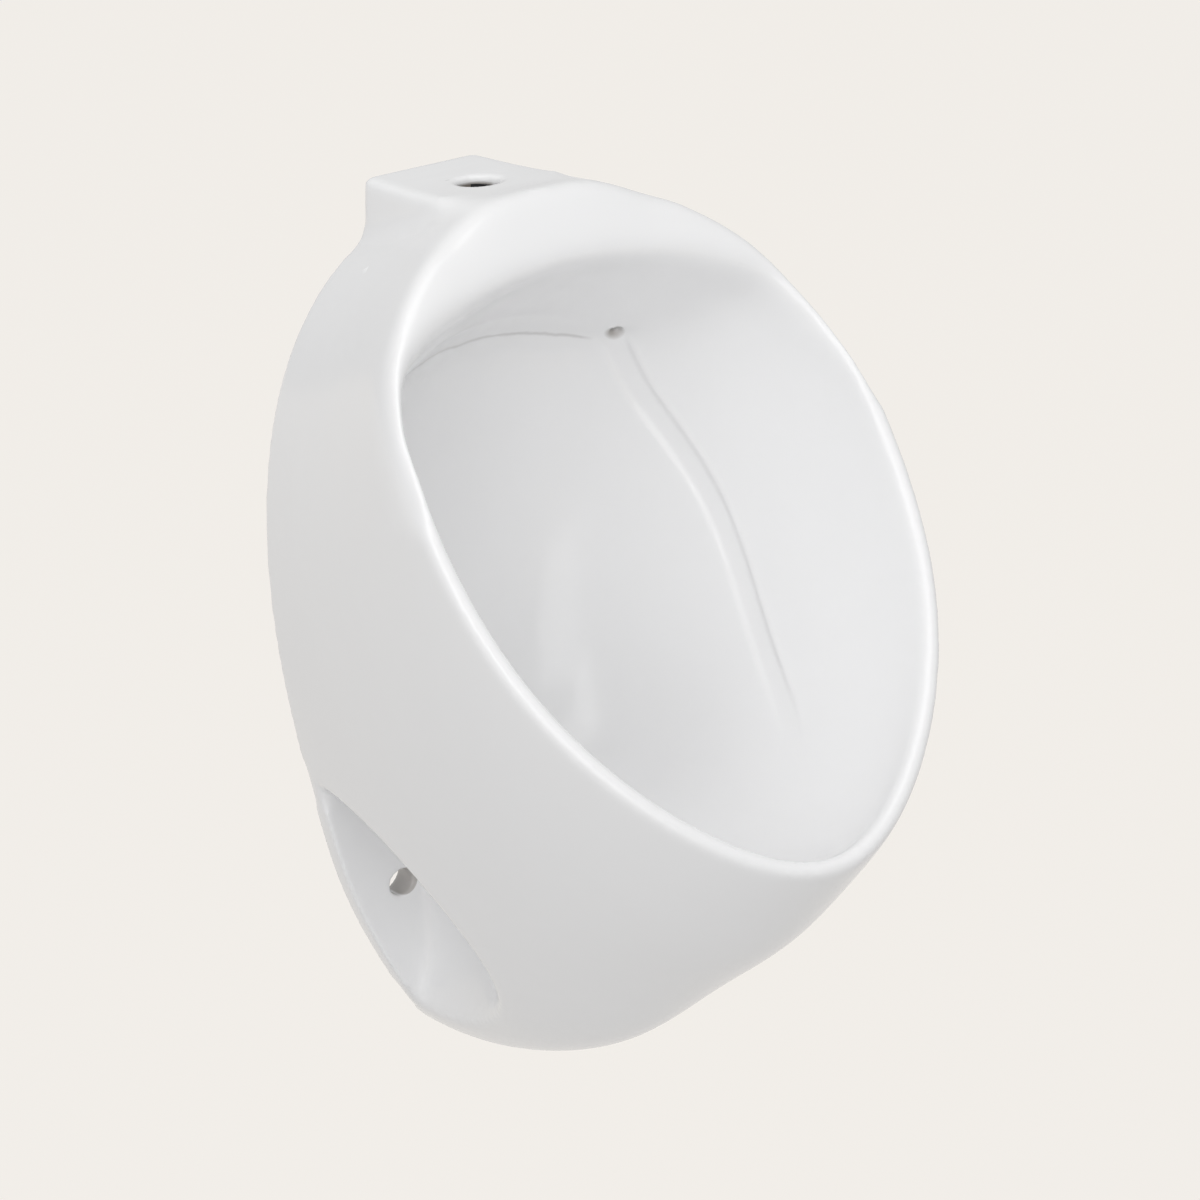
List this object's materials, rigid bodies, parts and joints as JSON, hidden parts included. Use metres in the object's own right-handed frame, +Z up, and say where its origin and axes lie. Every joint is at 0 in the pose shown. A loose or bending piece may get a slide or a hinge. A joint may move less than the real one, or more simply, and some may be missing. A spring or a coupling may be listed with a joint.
{
  "type": "wall hung urinal",
  "caption": "Flat-backed wall hung urinal in white china, with a tilted oval rim, top inlet block, scooped side fixings and a bottle trap hidden behind the bowl.",
  "frame": {"origin": "midway between the two lower wall-fixing holes, on the wall plane", "axes": "+Z up, +Y into the wall, so the bowl faces -Y; X runs left to right across the symmetric body"},
  "size_m": [0.2842, 0.3304, 0.4622],
  "materials": {
    "china": "glossy white glaze over vitreous china",
    "black_rubber": "matte black rubber",
    "grey_rubber": "matte grey rubber",
    "chrome": "polished chrome plate on brass",
    "white_plastic": "smooth moulded white plastic",
    "zinc_steel": "zinc-plated steel plate"
  },
  "bodies": {
    "fixed": {"ceramic_body": "china", "inlet_grommet": "black_rubber", "waste_body": "chrome", "waste_top_seal": "grey_rubber", "waste_bottom_seal": "grey_rubber", "trap_body": "white_plastic", "trap_dip_tube": "white_plastic", "trap_cup": "white_plastic", "trap_cup_seal": "black_rubber", "trap_outlet_nut": "white_plastic", "trap_outlet_seal": "black_rubber", "outlet_pipe": "white_plastic", "outlet_wall_seal": "grey_rubber", "hanger_left": "zinc_steel", "hanger_right": "zinc_steel", "hanger_pads": "grey_rubber"},
    "strainer": {"waste_strainer": "chrome"}
  },
  "joints": [
    {"name": "strainer_lift", "type": "slide", "parent": "fixed", "child": "strainer", "axis": [0, 0, 1], "range_m": [0, 0.03]}
  ]
}
